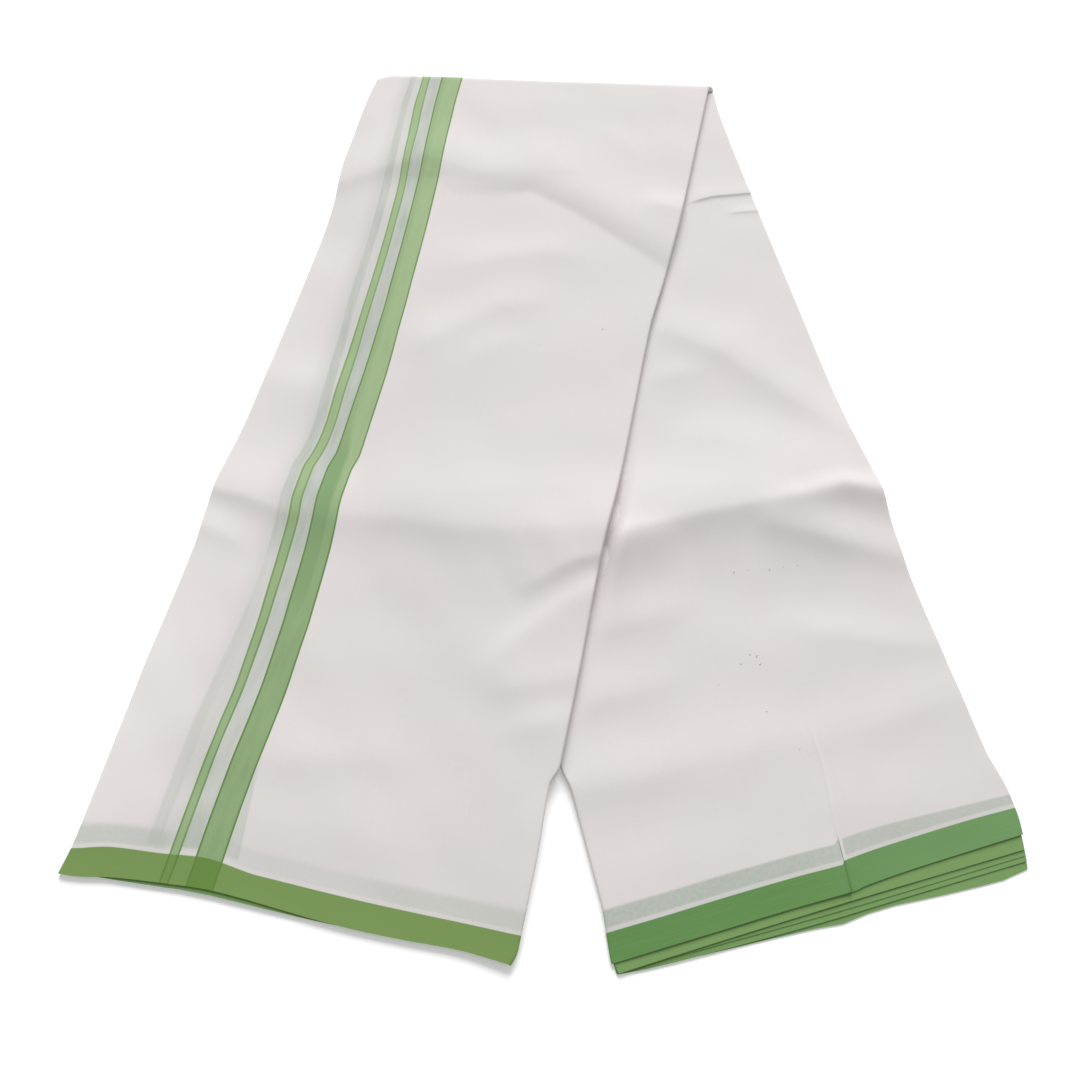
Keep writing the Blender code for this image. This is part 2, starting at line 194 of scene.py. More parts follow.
REAR_CREASES = creases(
    (0.6, 0.9, 10, [
        (160, 147, 0.3), (176, 145, 0.6), (201, 144, 0.9), (224, 143, 1), (266, 149, 0.9)]),
    (0.4, 1, 5, [(224, 160, 0), (240, 162, 0.6), (268, 167, 0.5)]),
    (0, 7, 22, [
        (124, 234, 0.7), (156, 248, 1.5), (188, 276, 2.3), (218, 318, 2.4), (246, 354, 1.8),
        (268, 378, 0.9)]),
    (0, 5, 10, [(128, 283, 0.4), (150, 284, 0.8), (178, 284, 0)]),
    (0.25, 11, 40, [
        (30, 392, 7), (90, 391, 7.2), (140, 391, 7.8), (176, 393, 8), (205, 395, 7.2),
        (228, 394, 6.6), (250, 406, 5.6), (272, 419, 3.8)]),
    (0, 14, 14, [(36, 396, 5.6), (68, 397, 5.4), (92, 399, 3), (124, 402, 0)]),
    (0, 7, 9, [
        (178, 395, 0), (200, 396, 1.6), (228, 396, 2.8), (245, 402, 2.6), (272, 416, 1.2)]),
    (0, 7, 18, [(158, 402, 0), (178, 409, 2.6), (204, 424, 3.6), (232, 441, 3), (272, 465, 2)]),
    (0, 6, 16, [(14, 448, 0.9), (74, 448, 1.2), (128, 446, 0)]),
    (0, 6, 16, [(-16, 490, 0.8), (48, 491, 1.2), (110, 488, 0)]),
    (0, 7, 18, [
        (-20, 537, 1), (40, 541, 1.3), (96, 541, 0.8), (160, 546, 0.7), (200, 545, 1.1),
        (272, 540, 0.8)]),
    (0, 6, 14, [(144, 468, 0), (184, 486, 1.2), (226, 504, 1.2), (270, 515, 0.7)]),
    (0, 6, 18, [(116, 328, 0), (158, 337, 0.7), (208, 357, 0)]))
PUFF = 0.0004                   # even rise of the outermost sheets over the pile
UNDER_FADE = 0.011              # rear creases begin over this width beside the front leg
CREASE_SHARE = 0.8              # hidden plies follow the creases a little less


# %% Height of the creases
def crease_height(crease, across, along):
    """Height that one crease adds, by the nearest place on its line."""
    nearest = np.full(np.shape(across), np.inf)
    height = np.zeros(np.shape(across))
    for (a_across, a_along, a_rise), (b_across, b_along, b_rise) in zip(
            np.array(crease.path) / 1000, np.array(crease.path[1:]) / 1000):
        run_across = b_across - a_across
        run_along = b_along - a_along
        off_across = across - a_across
        off_along = along - a_along
        t = (off_across * run_across + off_along * run_along) / (run_across ** 2 + run_along ** 2)
        t = np.clip(t, 0.0, 1.0)
        distance = np.hypot(off_across - t * run_across, off_along - t * run_along)
        to_hem = off_along * run_across - off_across * run_along
        if run_across < 0:
            to_hem = -to_hem
        near = distance / (crease.near / 1000)
        far = distance / (crease.far / 1000)
        if crease.crisp < 0:
            fall = 1 - np.clip(near, 0.0, 1.0) ** 2
        else:
            fall = (1 + near * (1 - crease.crisp)) * np.exp(-near)
        slope = np.where(to_hem > 0, fall, np.exp(-far ** 2))
        rise = a_rise + (b_rise - a_rise) * smooth(t)
        closer = distance < nearest
        nearest = np.where(closer, distance, nearest)
        height = np.where(closer, rise * slope, height)
    return height


WAVES = 10
WAVE_LEAN = 0.7                 # waves run within this angle of straight across
WAVE_LENGTHS = (0.028, 0.105)
WAVE_RISE = 0.0011              # a share of a wave's length


def ripple(seed, across, along):
    """Faint broad waves that pressing leaves in thin cloth, some tenths of a millimetre."""
    draw = np.random.default_rng(seed)
    total = 0.0
    for _ in range(WAVES):
        angle = draw.uniform(-WAVE_LEAN, WAVE_LEAN)
        length = draw.uniform(*WAVE_LENGTHS)
        phase = draw.uniform(0, 2 * pi)
        turn = 2 * pi * (along * cos(angle) + across * sin(angle)) / length
        total = total + length * np.sin(turn + phase)
    return total * WAVE_RISE


def front_lift(x, y):
    """Rise of the front leg's outermost ply over a flat pile."""
    across, along = from_plan(FRONT, x, y)
    rise = PUFF + sum(crease_height(c, across, along) for c in FRONT_CREASES)
    return rise + ripple(11, across, along)


TUCK = mm((560, 152.2), (581, 148.8), (604, 145.5), (633, 142.5))
TUCK_START = 0.520              # where the lengthwise tuck begins to show
TUCK_RUN = 0.055                # how far it takes to reach its height
LAP_START = 0.590               # where its left side begins to lap over its right
LAP_RUN = 0.030
LAP = 0.00075                   # and its height
FLAP_WIDTH = 0.020              # the lap's rise dies away over this, to the left
RIDGE = 0.00028                 # the pressed ridge along it
RIDGE_WIDTH = 0.0009


def tuck_height(across, along):
    """A lengthwise pressed crease near the rear hem: its left side laps over its right."""
    aside = across - trace(TUCK, along)
    begun = smooth((along - TUCK_START) / TUCK_RUN)
    lap = LAP * smooth((along - LAP_START) / LAP_RUN)
    ridge = RIDGE * np.exp(-(aside / RIDGE_WIDTH) ** 2)
    flap = np.where(aside < 0, np.exp(aside / FLAP_WIDTH), 1.0)
    edge = 1 - smooth((aside + 0.0002) / 0.0005)             # the lap ends within 0.5 mm
    gap = 0.6 * np.exp(-((aside - 0.0006) / 0.0003) ** 2)    # and a groove runs beside it
    return begun * (ridge + lap * (edge * flap - gap))


def rear_lift(x, y):
    """Rise of the rear leg's outermost ply, none where the front leg lies on it."""
    across, along = from_plan(FRONT, x, y)
    clear = smooth((across - trace(FRONT_RIGHT, along)) / UNDER_FADE)
    across, along = from_plan(REAR, x, y)
    rise = PUFF + sum(crease_height(c, across, along) for c in REAR_CREASES)
    return clear * (rise + ripple(23, across, along)) + tuck_height(across, along)


print("creases drawn:", len(FRONT_CREASES) + len(REAR_CREASES))

# %% [markdown]
# ## What the legs lie on
# The rear leg lies flat on the table. The front leg lies on it, and comes down to the table
# beside it over a hand's breadth, because a pressed pile is too stiff to drop at once.

# %% Height under each leg
DROP_START = 0.006              # how far outside the lower leg's edge it begins to fall
DROP_RUN = 0.085                # how far it takes to reach the table


def front_base(x, y):
    """Height of the front leg's underside."""
    across, along = from_plan(REAR, x, y)
    outside = trace(REAR_LEFT, along) - across
    return LIFT * (1 - smooth((outside - DROP_START) / DROP_RUN))


def rear_base(x, y):
    """The rear leg lies flat on the table."""
    return np.zeros(np.shape(x))


# %% [markdown]
# ## Hems
# Every ply ends in the green selvedge, but the plies slid a little when they were pressed,
# so their ends fan out. A hem is a list of how far along the leg a ply reaches, at stations
# across the strip. Plies that share a hem still differ by about a millimetre.

# %% Hems: (across, along) in mm, from the top ply down
FRONT_HEM = mm(
    (-9, 640.5), (-3, 640.4), (24, 636), (50, 633.2), (80, 631), (160, 633.8), (190, 633.2),
    (222, 631.8), (244, 632.8), (254, 633.6))
FRONT_INNER_HEM = mm(
    (0, 638.5), (30, 636.7), (50, 635.2), (75, 633.6), (130, 634), (160, 633.6), (200, 631.8),
    (246, 631.6))
REAR_HEM = mm(
    (0, 634.2), (60, 633), (120, 632), (144, 632), (152, 630.8), (175, 629.3), (190, 628.7),
    (225, 627.7), (250, 627))
REAR_SECOND_HEM = mm((0, 640), (50, 638.4), (150, 636.2), (250, 635))
REAR_THIRD_HEM = mm((0, 638.5), (50, 639.5), (120, 639.8), (250, 638.2))
REAR_FOURTH_HEM = mm((0, 639.7), (30, 641.8), (120, 643), (170, 642.2), (246, 641.2))
REAR_LOWEST_HEM = mm(
    (0, 638.2), (30, 641.2), (120, 645.2), (134, 646.5), (142, 645), (168, 644.6), (185, 646),
    (232, 647.4), (240, 646.6), (246, 644.4))
BUNDLE_BACK = 0.0005            # the plies under a top ply end this much sooner
PACK_BACK = 0.001               # and each lower part of the front pack by this much
SLIP = (0.0004, 0.0012)         # plies that share a hem end sooner by between these


def set_back(hem, by):
    """The same hem, ending sooner."""
    return [(across, along - by) for across, along in hem]


def hem_stack(hems, seed):
    """Hems of neighbouring plies: each one a little short of the hem that it shares."""
    draw = np.random.default_rng(seed)
    return [set_back(hem, draw.uniform(*SLIP)) if place else hem
            for hem, count in hems for place in range(count)]


fan = trace(REAR_LOWEST_HEM, 0.235) - trace(REAR_HEM, 0.235)
print(f"the rear leg's plies fan out by {fan * 1000:.0f} mm at the right")

# %% [markdown]
# ## Stripes, measured on the cloth
# The stripes and borders are straight in the cloth's own measure. They only look bent
# because the ply was pulled askew when it was pressed. So each point of a sheet carries its
# place in the woven cloth as a UV map, in metres, and they are simple bands of that map.

# %% Where the woven lines run on the front leg: (along, across) in mm
THIN_LEFT = mm(
    (22, 38.7), (50, 40), (75, 43), (107, 46.7), (137, 49.7), (166, 51.3), (209, 52.7),
    (250, 53.1), (303, 53.3), (328, 54.1), (340, 53.7), (353, 52), (366, 49.5), (385, 49.5),
    (402, 51.5), (424, 52.3), (446, 53.3), (479, 54.6), (510, 54.6), (541, 52.9), (570, 51.3),
    (607, 50.5), (634, 49.5))
WIDE_LEFT = mm(
    (18, 53.4), (38, 54.4), (70, 57.2), (103, 60.6), (134, 62.8), (164, 64.8), (207, 66.7),
    (240, 68), (287, 68.3), (325, 67.8), (348, 67.6), (363, 65.2), (382, 65.1), (399, 66.6),
    (420, 68), (454, 69.2), (475, 70), (507, 69.8), (537, 68.5), (567, 66.5), (595, 65.5),
    (634, 64.8))
THIN_SPAN = (0.0520, 0.0587)    # the same stripes in the cloth's own measure
WIDE_SPAN = (0.0666, 0.0829)
BORDER_START = LEG_LENGTH - BORDER
THIN_WIDTH = mm(
    (20, 6.2), (60, 7.2), (105, 5.8), (230, 5.9), (290, 7.2), (410, 7.4), (480, 6.3), (520, 5.6),
    (634, 5.3))
WIDE_WIDTH = mm(
    (20, 16.2), (105, 15.1), (230, 15), (290, 16.4), (440, 16.7), (500, 16), (634, 15.9))
FRONT_BORDER_TOP = mm(
    (-8, 627), (18, 620.5), (45, 618), (73, 615), (102, 618), (160, 618.5), (253, 617.5))
REAR_BORDER_TOP = mm(
    (4, 618.3), (39, 617.8), (86, 616.8), (120, 616.6), (143, 617), (144.5, 615.2), (182, 613),
    (231, 612), (250, 612.2))
BORDER_EASING = 0.100           # the cloth above a border eases into its measure over this


def stretch(value, knots, marks):
    """Read value on a scale whose knots stand at marks; both may be arrays."""
    result = marks[0] + (value - knots[0])
    for i in range(len(knots) - 1):
        share = (value - knots[i]) / (knots[i + 1] - knots[i])
        result = np.where(value >= knots[i], marks[i] + share * (marks[i + 1] - marks[i]), result)
    return result


def woven_across(leg, across, along):
    """Place across the woven cloth, in which the stripes are straight."""
    if leg is not FRONT:
        return across
    thin = trace(THIN_LEFT, along)
    wide = trace(WIDE_LEFT, along)
    knots = [trace(leg.left, along), thin, thin + trace(THIN_WIDTH, along), wide,
             wide + trace(WIDE_WIDTH, along), trace(leg.right, along)]
    marks = [0.0, *THIN_SPAN, *WIDE_SPAN, STRIP_WIDTH]
    return stretch(across, knots, marks)


def woven_along(border_top, across, along, hem):
    """Place along the woven cloth: the border begins BORDER before its end everywhere."""
    top = trace(border_top, across)
    knots = [top - BORDER_EASING, top, hem]
    marks = [top - BORDER_EASING, BORDER_START, LEG_LENGTH]
    return stretch(along, knots, marks)


# %% [markdown]
# ## Laying out a ply
# A ply is a grid. Each row crosses the leg, slanted like the fold at one end of the leg and
# like the hem at the other. The front leg's first rows roll over the cross fold. The same
# function lays out a single ply, and a pack that zigzags from side to side, uncut.

# %% Rows of the grid
FOLD_ROWS = 0.250               # rows are slanted like the fold, less and less, this far down
HEM_ROWS = 0.135                # rows take the hem's shape over this last stretch
REAR_CLEARANCE = 0.0005         # the rear leg's plies start just in front of the roll
FINE_STEP = 0.0027              # from row to row of the plies that show
COARSE_STEP = 0.0065            # and of the hidden ones
SHARP_SPOT = (0.1325, 0.1600)   # rows are closest where the rear leg's sharp crease runs
SHARP_STEP = 0.0006


def row_places(step, sharp=False):
    """Places of the rows along the leg's middle line."""
    places = list(np.linspace(0.0, BORDER_START, round(BORDER_START / step)))
    places += list(np.linspace(BORDER_START, LEG_LENGTH, max(3, round(BORDER / step)))[1:])
    if sharp:
        places += list(np.arange(*SHARP_SPOT, SHARP_STEP))
    return np.unique(np.round(places, 5))


def along_row(leg, place, across, hem):
    """How far along the leg a row lies, at places across it."""
    near_fold = max(0.0, 1 - place / FOLD_ROWS) ** 2
    near_hem = smooth((place - LEG_LENGTH + HEM_ROWS) / HEM_ROWS)
    return place + fold_line(leg, across) * near_fold + (hem - LEG_LENGTH) * near_hem


# %% Cross-sections: (across, level, ply) of every column
CURL = 0.0015                   # radius of the turned-down side edges
CURL_RUNS = 6                   # steps around them
LIP = [(0.0014, 0.00012), (0.0005, 0.00035), (0.0001, 0.00085)]    # inset, level


def curl_profile():
    """A turned-down side edge, from its lip up: inset and level."""
    angles = np.linspace(0, pi / 2, CURL_RUNS + 1)
    arc = [(CURL - CURL * cos(a), PILE_TOP - CURL + CURL * sin(a)) for a in angles]
    return LIP + arc


TUCK_COLUMNS = (-0.0014, -0.0007, -0.0002, 0.0001, 0.0004, 0.0006, 0.0008, 0.0012)
TUCK_LEFT, TUCK_RIGHT = -0.0030, 0.0026     # where the evenly spread columns end beside them
TUCK_SHARE = 0.57               # share of the columns that lies left of the tuck


def outer_section(columns, tucked=False):
    """The outermost ply, curled down over the pile at both edges, closer set at the tuck."""
    def section(left, right, along):
        curl = curl_profile()
        flat = np.linspace(left + CURL, right - CURL, columns + 1)[1:-1]
        if tucked:
            middle = float(trace(TUCK, along))
            share = round(columns * TUCK_SHARE)
            flat = np.concatenate([
                np.linspace(left + CURL, middle + TUCK_LEFT, share)[1:],
                [middle + aside for aside in TUCK_COLUMNS],
                np.linspace(middle + TUCK_RIGHT, right - CURL, columns - share)[:-1]])
        across = [left + inset for inset, _ in curl] + list(flat)
        across += [right - inset for inset, _ in reversed(curl)]
        level = [height for _, height in curl] + [PILE_TOP] * len(flat)
        level += [height for _, height in reversed(curl)]
        return np.array(across), np.array(level), np.zeros(len(across))
    return section


TURN_INSETS = (0.0012, 0.0015)  # how far inside the leg's edges the hidden plies turn
LIP_PLY = 12                    # from this one down they also keep clear of the outer ply's lip
LIP_CLEAR = 0.0009
PACK_COLUMNS = 16


def zigzag_section(first, count, seed):
    """Plies joined by tight turns at alternate side edges, as one uncut cloth."""
    draw = np.random.default_rng(seed)
    insets = draw.uniform(*TURN_INSETS, count + 1)
    insets[first + np.arange(count + 1) >= LIP_PLY] += LIP_CLEAR

    def section(left, right, along):
        across, level, ply = [], [], []
        for k in range(count):
            height = UNDER_TOP - (first + k + 0.5) * PITCH
            ends = [left + insets[k], right - insets[k + 1]]
            if k % 2:
                ends = [right - insets[k], left + insets[k + 1]]
            across += list(np.linspace(*ends, PACK_COLUMNS))
            level += [height] * PACK_COLUMNS
            ply += [k] * PACK_COLUMNS
            if k < count - 1:
                outward = np.sign(ends[1] - ends[0])
                for share in (0.25, 0.5, 0.75):
                    across.append(ends[1] + outward * PITCH / 2 * sin(pi * share))
                    level.append(height - PITCH / 2 * (1 - cos(pi * share)))
                    ply.append(k + share)
        return np.array(across), np.array(level), np.array(ply)
    return section


# %% Lay out the rows of one leg
Layout = namedtuple("Layout", "leg base lift share border_top rolls")
FRONT_OUTER = Layout(FRONT, front_base, front_lift, 1.0, FRONT_BORDER_TOP, 16)
FRONT_INNER = FRONT_OUTER._replace(share=CREASE_SHARE, rolls=8)
REAR_OUTER = Layout(REAR, rear_base, rear_lift, 1.0, REAR_BORDER_TOP, 0)
REAR_INNER = REAR_OUTER._replace(share=CREASE_SHARE)
LIP_DROP = 0.13                 # the lowest plies sink this share of what they stand on,
LIP_LEVEL = 0.0015              # less and less up to this level
HEM_PRESS = 0.35                # the pile is pressed flatter by this share at its hem,
PRESS_START = 0.582             # from here
PRESS_RUN = 0.050               # and in full after this
BED = 0.00003                   # the lowest ply keeps this far off the surface
CORNER_REACH = 0.0042           # the fold's right corner reaches out to the rear leg's edge,
CORNER_START = 0.225            # from here
CORNER_RUN = 0.034              # and in full after this


def read_hems(hems, ply, across):
    """Hem of every column, mixed between two plies where the cloth turns back."""
    reach = np.array([trace(hem, across) for hem in hems])
    low = np.floor(ply).astype(int)
    high = np.ceil(ply).astype(int)
    column = np.arange(len(ply))
    return reach[low, column] * (1 - ply + low) + reach[high, column] * (ply - low)


def seat(x, y, level, layout):
    """Height of a point of a leg's pile, at one level of it."""
    base = layout.base(x, y)
    lip = 1 - np.clip(level / LIP_LEVEL, 0, 1)
    _, along = from_plan(layout.leg, x, y)
    press = 1 - HEM_PRESS * smooth((along - PRESS_START) / PRESS_RUN)
    rise = layout.lift(x, y) * layout.share * level / PILE_TOP
    return BED + base * (1 - LIP_DROP * lip) + level * press + rise


def lay_out(layout, section, hems, places):
    """Points and woven places of a ribbon, row by row: over the fold, then down the leg."""
    leg = layout.leg
    rows, weave = [], []
    for place in places:
        ends = [along_row(leg, place, side, trace(hems[0], side)) for side in (0.0, STRIP_WIDTH)]
        left = float(trace(leg.left, ends[0]))
        right = float(trace(leg.right, ends[1]))
        across, level, ply = section(left, right, place)
        hem = read_hems(hems, ply, across)
        along = along_row(leg, place, across, hem)
        if place == 0.0 and layout.rolls:
            for i in range(layout.rolls):
                turn = pi * (layout.rolls - i) / layout.rolls
                rows.append(roll_row(layout, across, turn, level))
                back = turn * (FOLD_BORE + level)
                weave.append(np.stack([woven_across(leg, across, along), along - back], 1))
        if not layout.rolls:
            along = np.maximum(along, fold_line(leg, across) + REAR_CLEARANCE)
        x, y = to_plan(leg, across, along)
        rows.append(np.stack([x, y, seat(x, y, level, layout)], 1))
        woven = woven_along(layout.border_top, across, along, hem)
        weave.append(np.stack([woven_across(leg, across, along), woven], 1))
    return np.array(rows), np.array(weave)


def roll_row(layout, across, turn, level):
    """A row of the pile on its way over the cross fold."""
    x, y = to_plan(layout.leg, across, fold_line(layout.leg, across))
    rise = layout.lift(x, y) * layout.share * level / PILE_TOP * (1 - turn / pi)
    radius = FOLD_BORE + level + rise
    reach = CORNER_REACH * smooth(turn / (pi / 2))
    x = x + reach * smooth((across - CORNER_START) / CORNER_RUN)
    return np.stack([x, y + radius * sin(turn), FOLD_BORE + PILE_TOP + radius * cos(turn)], 1)


# %% [markdown]
# ## From a grid to a piece of cloth
# Solidify gives the grid the thickness of real cotton, and a plain closed mesh is kept. Each
# vertex also carries a tone, because the selvedge's dye differs a little from ply to ply, and
# the lower plies' green is also painted lighter to make up for the shade they lie in.

# %% Make a mesh of one or more ribbons
Ribbon = namedtuple("Ribbon", "points weave tone thickness offset")
SHARP_ANGLE = radians(42)       # shading breaks only where faces turn by more


def put(name, data):
    """A new object in the scene."""
    made = bpy.data.objects.new(name, data)
    scene.collection.objects.link(made)
    return made


def bake(draft):
    """The draft with its modifiers applied, as a plain mesh. The draft itself goes."""
    mesh = bpy.data.meshes.new_from_object(
        draft.evaluated_get(bpy.context.evaluated_depsgraph_get()))
    bpy.data.objects.remove(draft, do_unlink=True)
    return mesh


def ribbon_mesh(name, ribbon):
    """An open grid with its woven places as a UV map and its tone as an attribute."""
    rows, columns, _ = ribbon.points.shape
    corner = np.arange((rows - 1) * columns).reshape(rows - 1, columns)[:, :-1].ravel()
    faces = np.stack([corner, corner + columns, corner + columns + 1, corner + 1], 1)
    points = ribbon.points.reshape(-1, 3) + np.array([*MEETING, 0.0])
    mesh = bpy.data.meshes.new(name)
    mesh.from_pydata(points.tolist(), [], faces.tolist())
    order = np.empty(len(mesh.loops), int)
    mesh.loops.foreach_get("vertex_index", order)
    woven = mesh.uv_layers.new(name="woven")
    woven.data.foreach_set("uv", ribbon.weave.reshape(-1, 2)[order].astype("f").ravel())
    tone = mesh.attributes.new("tone", "FLOAT", "POINT")
    tone.data.foreach_set("value", np.full(len(points), ribbon.tone, "f"))
    mesh.shade_smooth()
    return mesh


def thicken(name, ribbon):
    """The ribbon's grid with the thickness of cloth, as a plain closed mesh."""
    draft = put(name, ribbon_mesh(name, ribbon))
    wall = draft.modifiers.new("Cotton", "SOLIDIFY")
    wall.thickness = ribbon.thickness
    wall.offset = ribbon.offset
    wall.use_even_offset = True
    solid = bake(draft)
    for vertex in solid.vertices:
        vertex.co.z = max(vertex.co.z, 0.0)      # nothing sinks into the surface
    solid.set_sharp_from_angle(angle=SHARP_ANGLE)
    return solid


def make_cloth(name, ribbons):
    """One piece of cloth from its ribbons."""
    shells = [put(f"{name}_{i}", thicken(f"{name}_{i}", ribbon))
              for i, ribbon in enumerate(ribbons)]
    piece = shells[0]
    if len(shells) > 1:
        with bpy.context.temp_override(active_object=piece, object=piece,
                                       selected_editable_objects=shells, selected_objects=shells):
            bpy.ops.object.join()
    piece.name = name
    piece.data.name = name
    triangles = sum(len(face.vertices) - 2 for face in piece.data.polygons)
    print(f"{name}: {len(ribbons)} ribbons, {triangles} triangles")
    return piece


# %% [markdown]
# ## The front leg
# Its outermost ply shows the two stripes and the border. It runs over the cross fold and
# curls down over the pile at both sides. Three plies under it belong to the same pressed
# bundle, and the twelve below are the hidden pack.

# %% The front leg's cloth
FINE_COLUMNS = 92
pack_rows = row_places(COARSE_STEP)


def top_ply(layout, hem, places, tucked=False):
    """The ply that shows, with its outside on the grid and its thickness inwards."""
    points, weave = lay_out(layout, outer_section(FINE_COLUMNS, tucked), [hem], places)
    return Ribbon(points, weave, 0.0, TOP_THICKNESS, -1.0)


def pack(layout, first, hems, hem_seed, edge_seed, tone):
    """The hidden plies from the first one down: (hem, how many plies share it)."""
    count = sum(plies for _, plies in hems)
    section = zigzag_section(first, count, edge_seed)
    points, weave = lay_out(layout, section, hem_stack(hems, hem_seed), pack_rows)
    return Ribbon(points, weave, tone, CLOTH_THICKNESS, 0.0)


front_bundle = [(set_back(FRONT_HEM, BUNDLE_BACK), 3)]
front_sheet = make_cloth("front_sheet", [
    top_ply(FRONT_OUTER, FRONT_HEM, row_places(FINE_STEP)),
    pack(FRONT_INNER, 0, front_bundle, hem_seed=3, edge_seed=4, tone=0.2)])
inner_hems = [(set_back(FRONT_INNER_HEM, part * PACK_BACK), 4) for part in range(3)]
front_pack = make_cloth("front_hidden_layers", [
    pack(FRONT_INNER, 3, inner_hems, hem_seed=5, edge_seed=6, tone=0.8)])

# %% [markdown]
# ## The rear leg
# It shows no stripe, because the stripes lie near the cloth's end and their ply turns to
# the underside at the fold. Its plies fan out at the hem, so the second bundle and the
# lowest plies are pieces of their own.

# %% The rear leg's cloth
rear_bundle = [(set_back(REAR_HEM, BUNDLE_BACK), 3)]
rear_sheet = make_cloth("rear_sheet", [
    top_ply(REAR_OUTER, REAR_HEM, row_places(FINE_STEP, sharp=True), tucked=True),
    pack(REAR_INNER, 0, rear_bundle, hem_seed=7, edge_seed=8, tone=0.3)])
rear_second = make_cloth("rear_second_sheet", [
    pack(REAR_INNER, 3, [(REAR_SECOND_HEM, 4)], hem_seed=9, edge_seed=10, tone=1.0)])
lowest_hems = [(REAR_THIRD_HEM, 2), (REAR_FOURTH_HEM, 3), (REAR_LOWEST_HEM, 3)]
rear_pack = make_cloth("rear_hidden_layers", [
    pack(REAR_INNER, 7, lowest_hems, hem_seed=12, edge_seed=13, tone=0.7)])

# %% [markdown]
# ## Shader sums as plain expressions
# A material's nodes are easier to follow as arithmetic. A Wire wraps one socket, so that
# adding or multiplying wires adds the Math nodes, and a Finish makes every other node.


# %% Wires and finishes
def feed(tree, socket, value):
    """Link a socket to what feeds it, or give it a plain value."""
    value = getattr(value, "socket", value)
    if isinstance(value, bpy.types.NodeSocket):
        tree.links.new(value, socket)
    else:
        socket.default_value = value


def add_node(tree, kind, settings, sockets):
    """A node with its settings first, then its values and links."""
    made = tree.nodes.new(kind)
    for setting, value in settings.items():
        setattr(made, setting, value)
    for key, value in sockets.items():
        feed(tree, made.inputs[key], value)
    return made


class Wire:
    """One socket of a finish, usable in sums."""

    def __init__(self, finish, socket):
        self.finish = finish
        self.socket = socket

    def math(self, operation, first, second=None):
        values = {0: first} if second is None else {0: first, 1: second}
        return self.finish.node("ShaderNodeMath", {"operation": operation}, values)

    def __add__(self, other):
        return self.math("ADD", self, other)

    def __sub__(self, other):
        return self.math("SUBTRACT", self, other)

    def __rsub__(self, other):
        return self.math("SUBTRACT", other, self)

    def __mul__(self, other):
        return self.math("MULTIPLY", self, other)

    __radd__ = __add__
    __rmul__ = __mul__

    def sine(self):
        return self.math("SINE", self)

    def size(self):
        return self.math("ABSOLUTE", self)

    def most(self, other):
        return self.math("MAXIMUM", self, other)


class Finish:
    """A material under construction."""

    def __init__(self, name):
        self.material = bpy.data.materials.new(name)
        self.material.use_nodes = True
        self.tree = self.material.node_tree
        self.surface = self.tree.nodes["Principled BSDF"]

    def dress(self, inputs):
        """Feed the surface's inputs, by name."""
        for name, value in inputs.items():
            feed(self.tree, self.surface.inputs[name], value)

    def node(self, kind, settings, sockets, out=0):
        return Wire(self, add_node(self.tree, kind, settings, sockets).outputs[out])

    def ease(self, value, low, high):
        """0 below low, 1 above high, smooth between."""
        return self.node("ShaderNodeMapRange", {"interpolation_type": "SMOOTHSTEP"},
                         {"Value": value, "From Min": low, "From Max": high})

    def band(self, value, low, high, soft):
        """1 between low and high, with edges as soft as asked."""
        return (self.ease(value, low - soft, low + soft)
                * (1 - self.ease(value, high - soft, high + soft)))

    def mix(self, mask, first, second):
        """A colour between two, by a mask."""
        return self.node("ShaderNodeMix", {"data_type": "RGBA"}, {0: mask, 6: first, 7: second},
                         out=2)

    def noise(self, x, y, scale, detail):
        """Soft blotches, finer where x and y change faster."""
        vector = self.node("ShaderNodeCombineXYZ", {}, {"X": x, "Y": y})
        return self.node("ShaderNodeTexNoise", {}, {"Vector": vector, "Scale": scale,
                                                    "Detail": detail})


# %% [markdown]
# ## Colours
# The light below brings a white sheet to a little over full white, so a dye is its colour
# as seen, in linear light, divided by that level.

# %% Dyes
LIGHT_LEVEL = 1.15


def dye(red, green, blue):
    """Linear colour of a cloth that is to look like this under the studio light."""
    linear = []
    for value in (red, green, blue):
        value = value / 255
        linear.append((value / 12.92 if value <= 0.04045 else ((value + 0.055) / 1.055) ** 2.4)
                      / LIGHT_LEVEL)
    return (*linear, 1.0)


WARM_WHITE = dye(228, 221, 221)
COOL_WHITE = dye(225, 221, 218)
THREAD_GREY = dye(217, 213, 211)
# painted light: a glow of light along the front leg's left edge, painted as whiter cloth
LEFT_GLOW_WHITE = dye(235, 230, 228)
SEEN_THROUGH = dye(176, 186, 174)
FRONT_GREEN = dye(122, 152, 85)
REAR_GREEN = dye(99, 144, 80)
REAR_GREEN_RIGHT = dye(113, 155, 98)
# partly painted light: the lower plies' own green, painted lighter against the shade they lie in
UNDER_GREEN_LIGHTENED = dye(123, 158, 95)
STRIPE_GREEN = dye(164, 187, 141)
STRIPE_SHADE = dye(133, 163, 115)
STRIPE_EDGE = dye(98, 136, 74)
CROSSING_GREEN = dye(101, 139, 56)
CROSSING_EDGE = dye(92, 128, 54)
WEFT_GREEN = dye(130, 163, 100)
TUCK_SHADE = dye(44, 70, 34)
FIBRE_GREY = dye(186, 179, 172)
print("border green in linear light:", [round(value, 3) for value in REAR_GREEN[:3]])

# %% [markdown]
# ## The woven finish
# Plain weave is a fine checker of raised threads, with slubs where a thread is thicker. The
# cotton is thin, so the stripe and border of the ply below show through as grey bands. All
# of it is read from the woven map, so it bends with the cloth.

# %% Cotton, with or without the stripes
THREAD_PITCH = 0.00044
WEAVE_DEPTH = 0.00004
THIN_RIM = 0.0012               # darker edges of the stripes
WIDE_RIM = 0.0011


